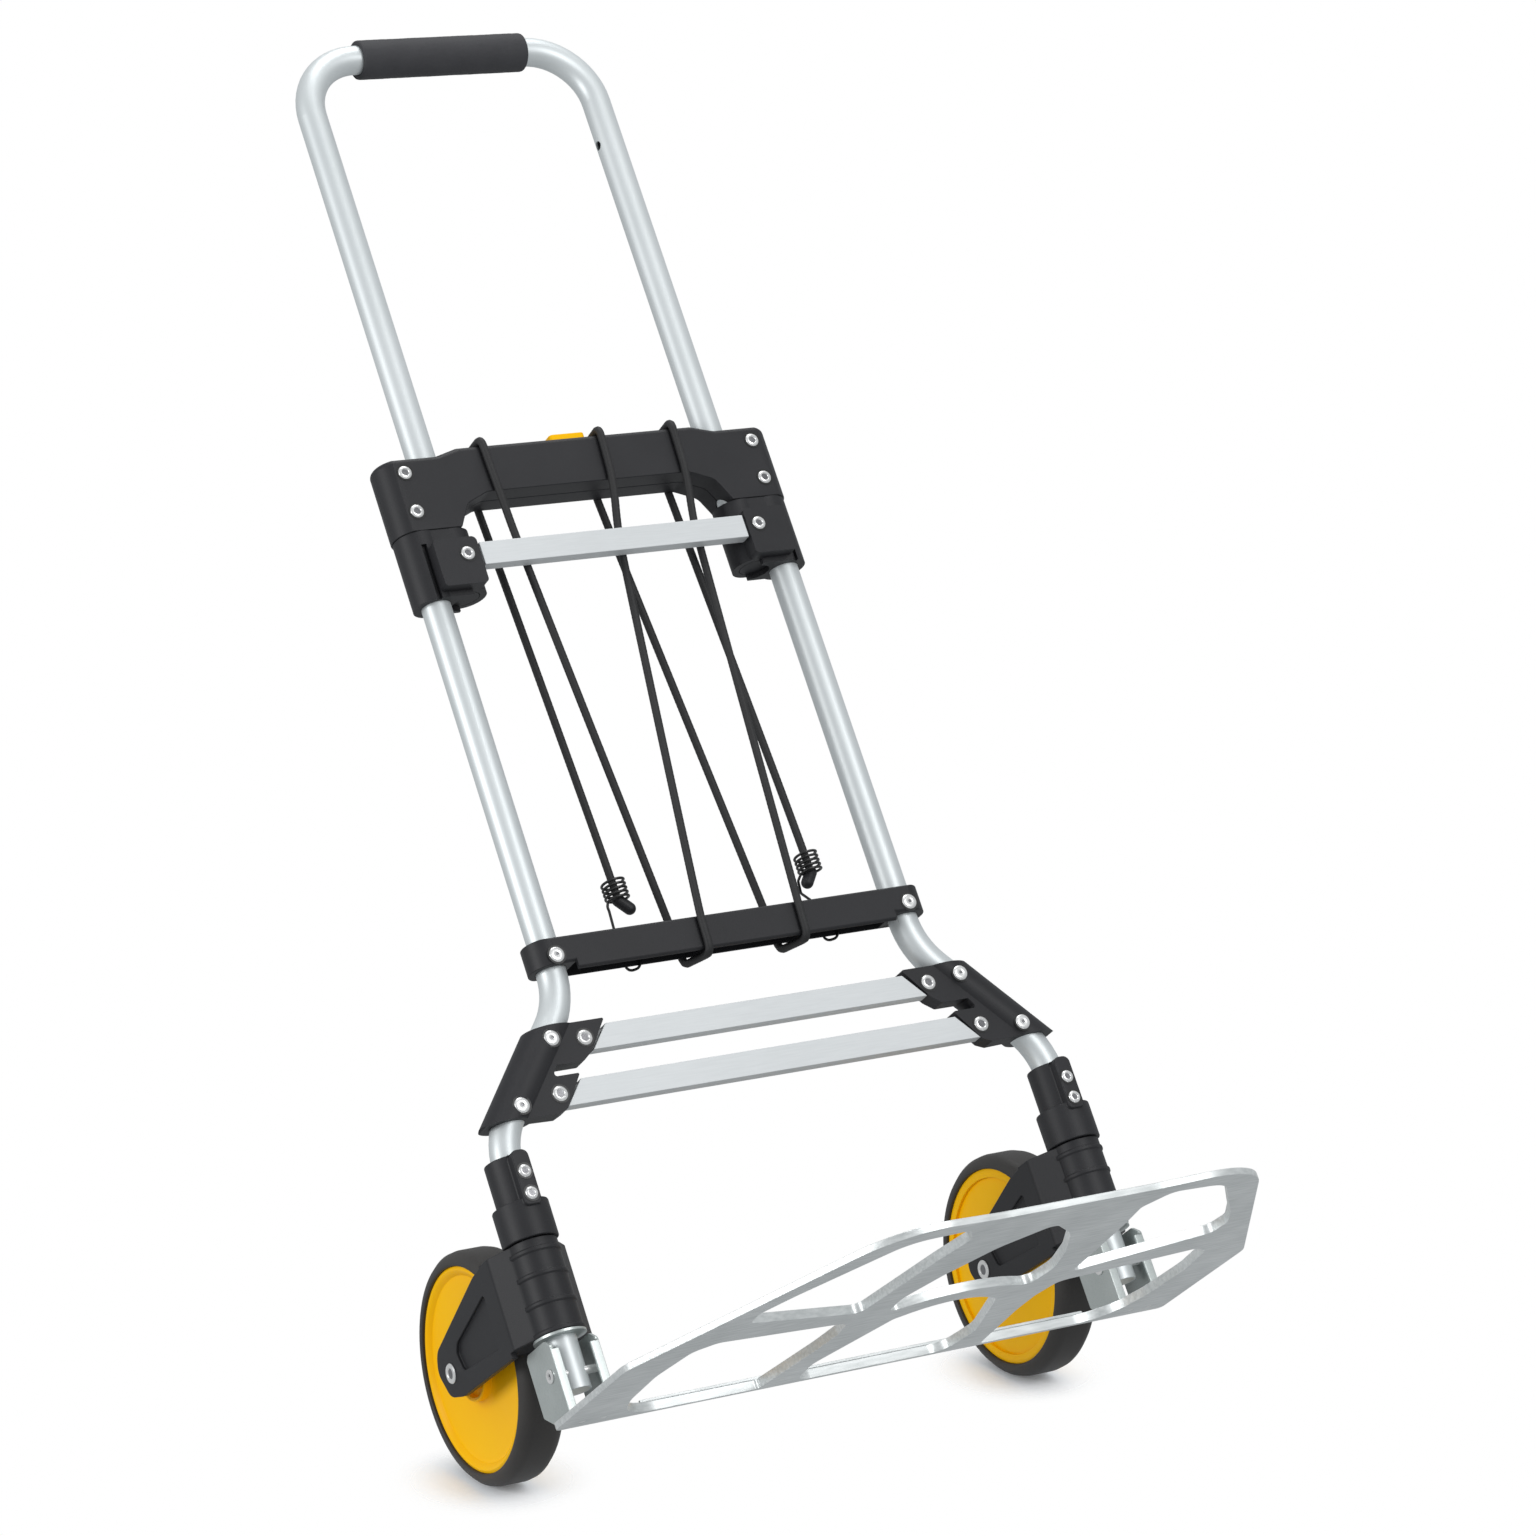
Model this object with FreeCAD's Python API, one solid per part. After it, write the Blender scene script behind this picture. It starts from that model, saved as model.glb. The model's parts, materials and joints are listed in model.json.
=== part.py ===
"""Folding luggage cart: a tubular frame with a pull-up handle, a fold-up toe plate and fold-in wheels.

Frame of the part: +Z up, front of the cart towards -Y, origin on the floor under the middle of its box.
Places are given as (x, forward, height): forward is the distance in front of the plane of the tubes.
Right-hand pieces (x > 0) are built first and the left-hand ones are their mirror images.
"""
import FreeCAD, Part
import math
import os
from FreeCAD import Vector

# ---- driving dimensions, in millimetres ----
TUBE_R = 11.0
LEG_WALL = 1.5
HANDLE_WALL = 1.2
LEG_X = 145.0
HANDLE_X = 120.4
COLUMN_X = 222.0
LEG_TOP = 719.0
LEG_BOTTOM = 24.0
LEG_BEND_R = 60.0
LEG_SLANT = math.radians(40.0)
LEG_BEND_START = 321.0
HANDLE_BOTTOM = 615.0
HANDLE_TOP = 1065.0
HANDLE_BEND_R = 48.0
HANDLE_TRAVEL = 270.0
GRIP_R = 15.0
GRIP_HALF = 69.5
LOCK_HEIGHT = 709.0
LOCK_HOLE_R = 3.6

HOUSING_BOTTOM = 663.0
HOUSING_MID_BOTTOM = 689.0
HOUSING_TOP = 727.0
HOUSING_DEPTH = 16.6
HOUSING_EDGE_R = 4.5
HOUSING_END_R = 18.0
CAVITY_DEPTH = 12.0
CAVITY_LOW = 693.0
CAVITY_HIGH = 723.5
HOUSING_RIVET_HEIGHTS = (710.0, 678.5)
BUTTON_TRAVEL = 4.0
CAM_X = 22.0
CAM_HEIGHT = 707.0
CAM_PIN_R = 2.0

GUIDE_BOTTOM = 609.0
SLEEVE_BOTTOM = 613.0
GUIDE_WRAP_R = 17.0
SLEEVE_R = 16.5
PAD_LOW = 613.0
PAD_HIGH = 650.0
PAD_FRONT = 26.5
SLOT_BACK = 13.0
SLOT_FRONT = 20.0
TONGUE_RIVET = (121.0, 637.0)

STRIP_DEPTH = 10.0
STRIP_WALL = 2.0
CROSS_STRIP_LOW = 627.0
CROSS_STRIP_HIGH = 645.0
CROSS_STRIP_HALF = 109.5
CROSS_STRIP_FRONT = 26.0
LEG_STRIP_FRONT = 11.5

BAR_FRONT_LOW = 316.5
BAR_LOW = 322.0
BAR_HIGH = 342.0
BAR_DEPTH = 16.5
BAR_WALL = 3.0
BAR_EDGE_R = 2.5
BAR_RIB_GAP = 30.0
BAR_HOLLOW_HALF = 131.0

BRACKET_LOW = 216.0
BRACKET_HIGH = 279.0
BRACKET_R = 15.5
EAR_FRONT = 12.0
EAR_BACK = 1.0
OUTER_RIVETS = ((167.7, 269.1), (205.1, 224.6))
EAR_RIVETS = ((141.1, 266.7), (172.6, 229.2))
STRIP_SLANT = math.tan(LEG_SLANT)
LEG_STRIPS = {
    "upper_leg_strip": (257.0, 275.0, 138.0),
    "lower_leg_strip": (219.5, 238.0, 170.0),
}

CLAMP_TOP = 191.0
COLLAR_TOP = 158.0
COLLAR_BOTTOM = 131.0
CLAMP_RIVET_HEIGHTS = (176.1, 160.0)
SWIVEL_TOP = 130.4
SWIVEL_BOTTOM = 64.0
SWIVEL_R = 18.0
SWIVEL_BORE = 13.06
BUSH_R = 13.0

WHEEL_X = 219.75
AXLE_BACK = 119.0
TYRE_R = 83.0
TYRE_HALF = 17.0
RIM_R = 72.8
HUB_HALF = 23.0
COVER_R = 66.0
FORK_OUT = 30.5
FORK_IN = 25.5
AXLE_R = 4.0

PLATE_HALF = 247.0
PLATE_FRONT = 324.0
PLATE_THICK = 3.0
PLATE_RIM = 5.0
OPENING_RIM = 7.0
PLATE_REAR_RIM = 9.0
RIM_WALL = 2.2
PLATE_RIVET_X = (214.0, 230.0)
PLATE_RIVET_FORWARD = 11.0
RIVET_SHANK_R = 2.2

PIN_FORWARD = 6.0
PIN_HEIGHT = 36.0
PIN_R = 3.0
CHEEK_OUT = 18.5
CHEEK_THICK = 2.5
BRACKET_FLOOR = PLATE_THICK + CHEEK_THICK

CORD_R = 3.0
WIRE_R = 1.0
SPRING_WIRE_R = 0.6
KNOB_R = 4.6
HOOK_X = (-65.5, 95.0)
HOOK_FORWARD = -19.0
HOOK_TOP = 389.0
HOOK_PITCH = 3.3
HOOK_TURNS = 4.5
HOOK_TOP_R = 5.6
HOOK_LOW_R = 8.4
HOOK_LOW = HOOK_TOP - HOOK_PITCH * HOOK_TURNS
CORD_END = 378.0
KNOB_LENGTH = 12.0
KNOB_LEANS = (7.0, -5.5)
HOOK_BENDS = (
    [(-10.4, -18.0, HOOK_LOW - 4), (-9.6, HOOK_FORWARD, HOOK_LOW - 7), (-11.0, -17.8, 352.0)],
    [(-11.0, -21.5, HOOK_LOW - 4), (-9.0, -26.5, HOOK_LOW - 12), (-7.5, -17.8, 352.0)],
)
HOOK_LOOP = 9.0
HOOK_DROP = 1.2

GAP = 0.3
FRAME_Y = 62.8

# ---- the toe plate's right-hand and middle openings: (x, forward) corners and their radii ----
REAR_CORNER_HOLE = [(196, 3), (208, 45), (211, 95), (204, 140), (190, 151)]
REAR_CORNER_HOLE += [(84, 136), (79, 110), (80, 80), (90, 3)]
REAR_CORNER_RADII = [35, 60, 60, 14, 10, 10, 20, 100, 3]
FRONT_CORNER_HOLE = [(84, 155), (73, 250), (66, 288), (78, 311)]
FRONT_CORNER_HOLE += [(122, 307), (170, 232), (184, 205), (182, 185)]
FRONT_CORNER_RADII = [6, 80, 10, 10, 30, 80, 14, 8]
FRONT_CENTRE_HOLE = [(-56, 142), (-60, 172), (-48, 212), (-28, 256), (0, 286)]
FRONT_CENTRE_HOLE += [(28, 256), (48, 212), (60, 172), (56, 142), (0, 169)]
FRONT_CENTRE_RADII = [6, 40, 60, 50, 8, 50, 60, 40, 6, 100]
REAR_CENTRE_HOLE = [(-60, 3), (-66, 42), (-41, 122), (0, 154), (41, 122), (66, 42), (60, 3)]
REAR_CENTRE_RADII = [14, 40, 6, 52, 6, 40, 14]
CORNER_OPENINGS = ((REAR_CORNER_HOLE, REAR_CORNER_RADII), (FRONT_CORNER_HOLE, FRONT_CORNER_RADII))
CENTRE_OPENINGS = ((FRONT_CENTRE_HOLE, FRONT_CENTRE_RADII), (REAR_CENTRE_HOLE, REAR_CENTRE_RADII))
PLATE_RADII = [5, 22, 60, 150, 150, 60, 22, 5]
PLATE_INNER_RADII = [3, 20, 58, 150, 150, 58, 20, 3]


# ---- the elastic cord's route: (x, forward, height) corners and the radius each is turned with ----
CORD_OUT = HOUSING_DEPTH + CORD_R + GAP
CORD_TOP = HOUSING_TOP + CORD_R + GAP
CORD_FRONT_LOW = BAR_FRONT_LOW - CORD_R - 1.0
CORD_BACK_LOW = BAR_LOW - CORD_R - GAP
BAR_OUT = BAR_DEPTH + CORD_R + GAP
BEHIND_STRIP = CROSS_STRIP_FRONT - STRIP_DEPTH - CORD_R - 0.5
TOP_TURN_R = HOUSING_EDGE_R + CORD_R - 1
LOW_TURN_R = BAR_EDGE_R + CORD_R + GAP
BEND_R = 60.0
CORD_ROUTE = [
    (HOOK_X[0], HOOK_FORWARD, CORD_END, 0),
    (HOOK_X[0], HOOK_FORWARD, 400.0, BEND_R),
    (-78.5, -CORD_OUT, CORD_TOP, TOP_TURN_R),
    (-78.5, CORD_OUT, CORD_TOP, TOP_TURN_R),
    (-77.0, CORD_OUT, 686.0, BEND_R),
    (-71.5, BEHIND_STRIP, 646.0, BEND_R),
    (-30.5, -BAR_OUT, 344.0, BEND_R),
    (-29.5, -BAR_OUT, CORD_BACK_LOW, LOW_TURN_R),
    (-28.0, BAR_OUT, CORD_FRONT_LOW, LOW_TURN_R),
    (-27.0, BAR_OUT, 344.0, BEND_R),
    (8.0, BEHIND_STRIP, 622.0, BEND_R),
    (12.0, BEHIND_STRIP, 650.0, BEND_R),
    (17.0, CORD_OUT, 686.0, BEND_R),
    (19.5, CORD_OUT, CORD_TOP, TOP_TURN_R),
    (21.5, -CORD_OUT, CORD_TOP, TOP_TURN_R),
    (22.0, -CORD_OUT, 688.0, BEND_R),
    (48.5, -BAR_OUT, 344.0, BEND_R),
    (50.0, -BAR_OUT, CORD_BACK_LOW, LOW_TURN_R),
    (52.0, BAR_OUT, CORD_FRONT_LOW, LOW_TURN_R),
    (53.5, BAR_OUT, 344.0, BEND_R),
    (74.0, BEHIND_STRIP, 622.0, BEND_R),
    (76.0, BEHIND_STRIP, 650.0, BEND_R),
    (79.0, CORD_OUT, 686.0, BEND_R),
    (80.5, CORD_OUT, CORD_TOP, TOP_TURN_R),
    (81.6, -CORD_OUT, CORD_TOP, TOP_TURN_R),
    (HOOK_X[1], HOOK_FORWARD, 400.0, BEND_R),
    (HOOK_X[1], HOOK_FORWARD, CORD_END, 0),
]


# ---- geometry helpers ----
def point(x, forward, height):
    """A place in the part's frame."""
    return Vector(x, FRAME_Y - forward, height)


def cylinder(start, end, radius):
    """A solid round bar between two places."""
    axis = point(*end) - point(*start)
    return Part.makeCylinder(radius, axis.Length, point(*start), axis)


def tube(start, end, outer, inner):
    """A round tube between two places."""
    return cylinder(start, end, outer).cut(cylinder(start, end, inner))


def slab(x_range, forward_range, height_range):
    """A box given by its extents to the right, forward and up."""
    width = x_range[1] - x_range[0]
    depth = forward_range[1] - forward_range[0]
    height = height_range[1] - height_range[0]
    return Part.makeBox(width, depth, height, point(x_range[0], forward_range[1], height_range[0]))


def corner_arc(before, corner, after, radius):
    """The tangent arc at a corner, as its first, middle and last point."""
    back = (before - corner).normalize()
    ahead = (after - corner).normalize()
    half = back.getAngle(ahead) / 2
    reach = radius / math.tan(half)
    bisector = (back + ahead).normalize()
    centre = corner + bisector * (radius / math.sin(half))
    middle = centre - bisector * radius
    return corner + back * reach, middle, corner + ahead * reach


def rounded_wire(points, radii, closed):
    """Straight runs joined by tangent arcs; a radius of 0 leaves a corner sharp."""
    count = len(points)
    edges = []
    stops = []
    for i in range(count):
        inside = closed or 0 < i < count - 1
        if inside and radii[i] > 0:
            stops.append(corner_arc(points[i - 1], points[i], points[(i + 1) % count], radii[i]))
        else:
            stops.append((points[i], None, points[i]))
    for i in range(count):
        first, middle, last = stops[i]
        if middle is not None:
            edges.append(Part.Arc(first, middle, last).toShape())
        if closed or i < count - 1:
            following = stops[(i + 1) % count][0]
            if (following - last).Length > 1e-6:
                edges.append(Part.LineSegment(last, following).toShape())
    return Part.Wire(edges)


def pipe(points, radii, radius):
    """A solid round bar along straight runs and tangent arcs."""
    places = [point(*p) for p in points]
    spine = rounded_wire(places, radii, False)
    section = Part.Wire([Part.Circle(places[0], places[1] - places[0], radius).toShape()])
    return spine.makePipeShell([section], True, False)


def floor_face(outline, radii, height):
    """A level face from an outline of (x, forward) points."""
    places = [point(x, forward, height) for x, forward in outline]
    return Part.Face(rounded_wire(places, radii, True))


def floor_prism(outline, radii, height_range):
    """An outline of (x, forward) points, raised between two heights."""
    face = floor_face(outline, radii, height_range[0])
    return face.extrude(Vector(0, 0, height_range[1] - height_range[0]))


def front_prism(outline, radii, forward_range):
    """An outline of (x, height) points seen from the front, given depth."""
    places = [point(x, forward_range[0], height) for x, height in outline]
    face = Part.Face(rounded_wire(places, radii, True))
    return face.extrude(Vector(0, forward_range[0] - forward_range[1], 0))


def side_prism(outline, radii, x_range):
    """An outline of (forward, height) points seen from the side, given width."""
    places = [point(x_range[0], forward, height) for forward, height in outline]
    face = Part.Face(rounded_wire(places, radii, True))
    return face.extrude(Vector(x_range[1] - x_range[0], 0, 0))


def turned(profile, centre_x, forward, height):
    """A wheel part: (radius, x) points turned about an axis that runs to the right."""
    places = [point(centre_x + x, forward, height + radius) for radius, x in profile]
    face = Part.Face(Part.makePolygon(places + places[:1]))
    return face.revolve(point(centre_x, forward, height), Vector(1, 0, 0), 360)


def joined(shapes):
    """One solid from overlapping ones."""
    return shapes[0].multiFuse(shapes[1:]).removeSplitter()


def without(shape, cutters):
    """The shape with each cutter taken away."""
    for cutter in cutters:
        shape = shape.cut(cutter)
    return shape


def mirrored(shape):
    """The left-hand twin of a right-hand piece."""
    return shape.mirror(Vector(0, 0, 0), Vector(1, 0, 0))


def write(name, shape):
    """One STEP file for one node."""
    shape.exportStep("parts/" + name + ".step")


def write_pair(name, shape):
    """A right-hand piece and its mirror image, each as its own node."""
    write(name + "_right", shape)
    write(name + "_left", mirrored(shape))


# ---- tubes ----
def leg_path():
    """The right leg's centre line: down, out at a slant, and down to the toe plate."""
    corner_high = LEG_BEND_START - LEG_BEND_R * math.tan(LEG_SLANT / 2)
    corner_low = corner_high - (COLUMN_X - LEG_X) / math.tan(LEG_SLANT)
    upright = [(LEG_X, 0, LEG_TOP), (LEG_X, 0, corner_high)]
    return upright + [(COLUMN_X, 0, corner_low), (COLUMN_X, 0, LEG_BOTTOM)]


def leg_solid():
    """The space the right leg fills, used to bore the pieces that grip it."""
    return pipe(leg_path(), [0, LEG_BEND_R, LEG_BEND_R, 0], TUBE_R)


def leg_tube():
    """The right leg tube, cross-drilled for the toe plate's hinge pin."""
    bore = pipe(leg_path(), [0, LEG_BEND_R, LEG_BEND_R, 0], TUBE_R - LEG_WALL)
    pin_hole = hinge_pin_bar(PIN_R + 0.05)
    return without(leg_solid(), [bore, pin_hole])


def handle_tube():
    """The pull-up handle: one tube bent into a U, with lock holes on its inner sides."""
    path = [(-HANDLE_X, 0, HANDLE_BOTTOM), (-HANDLE_X, 0, HANDLE_TOP)]
    path += [(HANDLE_X, 0, HANDLE_TOP), (HANDLE_X, 0, HANDLE_BOTTOM)]
    radii = [0, HANDLE_BEND_R, HANDLE_BEND_R, 0]
    shape = pipe(path, radii, TUBE_R).cut(pipe(path, radii, TUBE_R - HANDLE_WALL))
    for height in (LOCK_HEIGHT, LOCK_HEIGHT + HANDLE_TRAVEL):
        hole = cylinder((HANDLE_X - TUBE_R - 2, 0, height), (HANDLE_X - 4, 0, height), LOCK_HOLE_R)
        shape = without(shape, [hole, mirrored(hole)])
    return shape


def handle_end_plug():
    """The plastic plug in the handle tube's lower end."""
    stem = cylinder((HANDLE_X, 0, HANDLE_BOTTOM), (HANDLE_X, 0, HANDLE_BOTTOM + 14), TUBE_R - HANDLE_WALL)
    cap = cylinder((HANDLE_X, 0, HANDLE_BOTTOM - 2), (HANDLE_X, 0, HANDLE_BOTTOM), TUBE_R - 0.2)
    return stem.fuse(cap)


def handle_grip():
    """The foam sleeve on the handle's cross part."""
    return tube((-GRIP_HALF, 0, HANDLE_TOP), (GRIP_HALF, 0, HANDLE_TOP), GRIP_R, TUBE_R)


# ---- upper crosspiece ----
def housing_outline():
    """The crosspiece seen from the front: deep wings and an arched middle."""
    right = [(HOUSING_END_R + LEG_X, HOUSING_BOTTOM), (HOUSING_END_R + LEG_X, HOUSING_TOP - 5)]
    right += [(116, HOUSING_TOP - 5), (98, HOUSING_TOP)]
    arch = [(84, HOUSING_MID_BOTTOM), (103, 681), (113, HOUSING_BOTTOM)]
    left = [(-x, height) for x, height in reversed(right)]
    left_arch = [(-x, height) for x, height in reversed(arch)]
    radii = [0, 0, 8, 8, 8, 8, 0, 0, 0, 10, 12, 12, 10, 0]
    return right + left + left_arch + arch, radii


def stadium(half_width, end_radius, height_range):
    """A bar with round ends, seen from above, centred on the tube plane."""
    middle = slab((-half_width, half_width), (-end_radius, end_radius), height_range)
    end = cylinder((half_width, 0, height_range[0]), (half_width, 0, height_range[1]), end_radius)
    return joined([middle, end, mirrored(end)])


def upper_rim(body):
    """The edges round a body's upper faces, without the seams that cross it from front to back."""
    edges = []
    for edge in body.Edges:
        first, last = edge.Vertexes[0].Point, edge.Vertexes[-1].Point
        crossing = abs(first.x - last.x) < 0.01 and abs(first.y - last.y) > 0.01
        if min(first.z, last.z) > HOUSING_TOP - 6 and not crossing:
            edges.append(edge)
    return edges


def housing_body():
    """The whole crosspiece before it is split into a front and a back shell."""
    outline, radii = housing_outline()
    body = front_prism(outline, radii, (-HOUSING_DEPTH, HOUSING_DEPTH))
    body = body.common(stadium(LEG_X, HOUSING_END_R, (HOUSING_BOTTOM, HOUSING_TOP)))
    body = body.makeFillet(HOUSING_EDGE_R, upper_rim(body))
    cavity = slab((-106, 106), (-CAVITY_DEPTH, CAVITY_DEPTH), (CAVITY_LOW, CAVITY_HIGH))
    handle_bore = cylinder((HANDLE_X, 0, 600), (HANDLE_X, 0, 760), TUBE_R + GAP)
    latch_bore = cylinder((100, 0, LOCK_HEIGHT), (HANDLE_X, 0, LOCK_HEIGHT), LOCK_HOLE_R)
    button_slot = slab((-15, 15), (-8.5, 6.5), (CAVITY_HIGH - 1, HOUSING_TOP + 1))
    cutters = [cavity, button_slot]
    for piece in (handle_bore, latch_bore, leg_solid()):
        cutters += [piece, mirrored(piece)]
    return without(body, cutters)


def housing_shells():
    """The front and back shells, which meet in the plane of the tubes."""
    body = housing_body()
    front = body.common(slab((-200, 200), (0, 40), (600, 760)))
    back = body.common(slab((-200, 200), (-40, 0), (600, 760)))
    return front, back


def rivet(x, height, front, back, head_r=5.2, head=1.4, shank_r=RIVET_SHANK_R):
    """A rivet through the frame: a domed head in front, a shank and a flat tail behind."""
    shank = cylinder((x, back, height), (x, front, height), shank_r)
    dome_profile = [(0, 0), (head_r, 0), (head_r, head * 0.4), (head_r * 0.7, head), (0, head)]
    places = [point(x + radius, front + rise, height) for radius, rise in dome_profile]
    section = Part.Face(Part.makePolygon(places + places[:1]))
    dome = section.revolve(point(x, front, height), Vector(0, 1, 0), 360)
    tail = cylinder((x, back - 1, height), (x, back, height), head_r * 0.8)
    return joined([shank, dome, tail])


def housing_rivets():
    """The two right-hand rivets that hold both shells on the leg tube."""
    return [rivet(LEG_X, height, HOUSING_DEPTH, -HOUSING_DEPTH) for height in HOUSING_RIVET_HEIGHTS]


# ---- release button and latches ----
def release_button():
    """The button's cap, its captive flange and two cam legs with slanted slots."""
    outline = [(-14.5, -8), (14.5, -8), (14.5, 6), (-14.5, 6)]
    cap = floor_prism(outline, [3, 3, 3, 3], (722, 735))
    flange = slab((-31, 31), (-9.5, 8), (719.5, 722.5))
    shapes = [cap, flange]
    for side in (1, -1):
        inner, outer = sorted((side * 13, side * 31))
        leg = slab((inner, outer), (0, 5), (699.5, 720))
        shapes.append(leg)
    body = joined(shapes)
    return without(body, [cam_slot(1), cam_slot(-1)])


def cam_slot(side):
    """The 45 degree slot that turns the button's travel into the latch's travel."""
    reach = BUTTON_TRAVEL + 0.3
    first = (side * (CAM_X + 0.3), CAM_HEIGHT - 0.3)
    last = (side * (CAM_X - reach), CAM_HEIGHT + reach)
    radius = CAM_PIN_R + 0.3
    ends = [cylinder((x, -1, height), (x, 6, height), radius) for x, height in (first, last)]
    offset = radius / math.sqrt(2)
    outline = [(first[0] + side * offset, first[1] + offset), (last[0] + side * offset, last[1] + offset)]
    outline += [(last[0] - side * offset, last[1] - offset), (first[0] - side * offset, first[1] - offset)]
    return joined([front_prism(outline, [0, 0, 0, 0], (-1, 6))] + ends)


def latch_slide():
    """The right latch: a flat slide with a cam pin, and the bolt that faces the handle's lock hole."""
    strip = slab((14, 103), (-6, -3), (703, 712))
    block = slab((97, 103), (-6, 3.5), (703, 714))
    bolt = cylinder((102, 0, LOCK_HEIGHT), (HANDLE_X - TUBE_R - 0.5, 0, LOCK_HEIGHT), LOCK_HOLE_R - 0.5)
    cam_pin = cylinder((CAM_X, -4, CAM_HEIGHT), (CAM_X, 5.5, CAM_HEIGHT), CAM_PIN_R)
    return joined([strip, block, bolt, cam_pin])


def button_spring():
    """The spring under the button, standing on the crosspiece's floor."""
    low = CAVITY_LOW + SPRING_WIRE_R
    length = 719.5 - SPRING_WIRE_R - low
    helix = Part.makeHelix(length / 7, length, 4.5)
    section = Part.Wire([Part.Circle(Vector(4.5, 0, 0), Vector(0, 1, 0), SPRING_WIRE_R).toShape()])
    coil = Part.Wire(helix.Edges).makePipeShell([section], True, True)
    coil.translate(point(0, -3.5, low))
    return coil


# ---- guide blocks and upper strip ----
def guide_block():
    """Grips the leg, guides the handle tube and carries one end of the upper strip."""
    wrap = cylinder((LEG_X, 0, GUIDE_BOTTOM), (LEG_X, 0, HOUSING_BOTTOM - GAP), GUIDE_WRAP_R)
    sleeve = cylinder((HANDLE_X, 0, SLEEVE_BOTTOM), (HANDLE_X, 0, HOUSING_BOTTOM - GAP), SLEEVE_R)
    web_depth = (-GUIDE_WRAP_R + 3, GUIDE_WRAP_R - 1)
    web = slab((HANDLE_X, LEG_X), web_depth, (GUIDE_BOTTOM, HOUSING_BOTTOM - GAP))
    pad_outline = [(111, PAD_LOW), (146, PAD_LOW), (146, PAD_HIGH), (111, PAD_HIGH)]
    pad = front_prism(pad_outline, [3, 3, 4, 4], (0, PAD_FRONT))
    slot = slab((146, 150), (SLOT_BACK, SLOT_FRONT), (GUIDE_BOTTOM - 1, PAD_HIGH + 2))
    handle_bore = cylinder((HANDLE_X, 0, 600), (HANDLE_X, 0, 670), TUBE_R + GAP)
    tongue = slab((100, 130.5), (19.5, 23.5), (629, 643))
    body = joined([wrap, sleeve, web, pad])
    return without(body, [slot, handle_bore, tongue, leg_solid()])


def channel_strip(ends_high, ends_low, front, low, high):
    """A flat-fronted channel between two slanted ends, open at the back."""
    outline = [(ends_low, low), (ends_high, high), (-ends_high, high), (-ends_low, low)]
    body = front_prism(outline, [0, 0, 0, 0], (front - STRIP_DEPTH, front))
    reach = max(ends_high, ends_low) + 10
    hollow_heights = (low + STRIP_WALL, high - STRIP_WALL)
    hollow = slab((-reach, reach), (front - STRIP_DEPTH - 1, front - STRIP_WALL), hollow_heights)
    return body.cut(hollow)


def upper_cross_strip():
    """The strip between the guide blocks, with a tongue in each block."""
    half = CROSS_STRIP_HALF
    strip = channel_strip(half, half, CROSS_STRIP_FRONT, CROSS_STRIP_LOW, CROSS_STRIP_HIGH)
    tongue = slab((-130, 130), (20, 23), (629.3, 642.7))
    link = slab((half - 8, half), (20, 25), (629.3, 642.7))
    x, height = TONGUE_RIVET
    hole = cylinder((x, 0, height), (x, 40, height), RIVET_SHANK_R)
    return without(joined([strip, tongue, link, mirrored(link)]), [hole, mirrored(hole)])


def guide_rivet():
    """The rivet through the guide block's pad and the strip's tongue."""
    return rivet(*TONGUE_RIVET, PAD_FRONT, SLEEVE_R)


# ---- lower bar ----
def bar_section(low):
    """The bar's rounded section from one height up, longer than the bar."""
    section = [(-BAR_DEPTH, low), (-BAR_DEPTH, BAR_HIGH), (BAR_DEPTH, BAR_HIGH), (BAR_DEPTH, low)]
    return side_prism(section, [BAR_EDGE_R] * 4, (-200, 200))


def lower_bar():
    """A ribbed channel between the legs, open underneath, with a deeper wall in front."""
    body = stadium(LEG_X, BAR_DEPTH, (BAR_LOW, BAR_HIGH)).common(bar_section(BAR_LOW))
    inside = BAR_DEPTH - BAR_WALL
    hollow = (-BAR_HOLLOW_HALF, BAR_HOLLOW_HALF)
    trough = slab(hollow, (-inside, inside), (BAR_LOW - 1, BAR_HIGH - BAR_WALL))
    front_wall = slab(hollow, (inside, BAR_DEPTH), (BAR_FRONT_LOW, BAR_HIGH - BAR_WALL))
    shapes = [body.cut(trough), front_wall.common(bar_section(BAR_FRONT_LOW))]
    for i in range(-3, 5):
        x = (i - 0.5) * BAR_RIB_GAP
        shapes.append(slab((x - 1, x + 1), (-inside, inside), (BAR_LOW + 5, BAR_HIGH - 1)))
    leg = leg_solid()
    return without(joined(shapes), [leg, mirrored(leg)])


def bar_rivet():
    """The rivet that fixes the bar to the right leg."""
    return rivet(LEG_X, 328.5, BAR_DEPTH, -BAR_DEPTH)


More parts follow.
